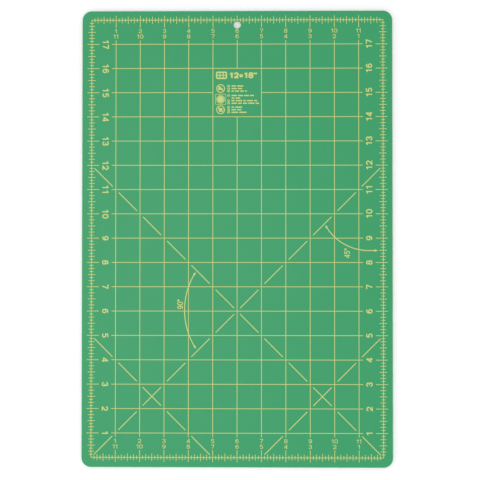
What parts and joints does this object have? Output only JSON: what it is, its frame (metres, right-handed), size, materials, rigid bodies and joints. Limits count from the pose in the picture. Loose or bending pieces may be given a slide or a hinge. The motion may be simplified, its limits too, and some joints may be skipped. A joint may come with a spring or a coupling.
{
  "type": "self healing mat",
  "caption": "Rounded rectangular self-healing cutting mat with a printed inch grid, angle guides and a hanging hole.",
  "frame": {"origin": "middle of the underside", "axes": "+X to the right of the printed grid, +Y towards the short edge with the hanging hole, +Z out of the printed working face"},
  "size_m": [0.3244, 0.4768, 0.003],
  "materials": {
    "green_pvc": "fine matt grain",
    "inner_pvc": "plain matt",
    "core_sheet": "satin",
    "printed_ink": "screen-printed, matt"
  },
  "bodies": {
    "root": {"top_healing_layer": "green_pvc", "upper_inner_ply": "inner_pvc", "rigid_core_sheet": "core_sheet", "lower_inner_ply": "inner_pvc", "bottom_healing_layer": "green_pvc"}
  },
  "joints": []
}
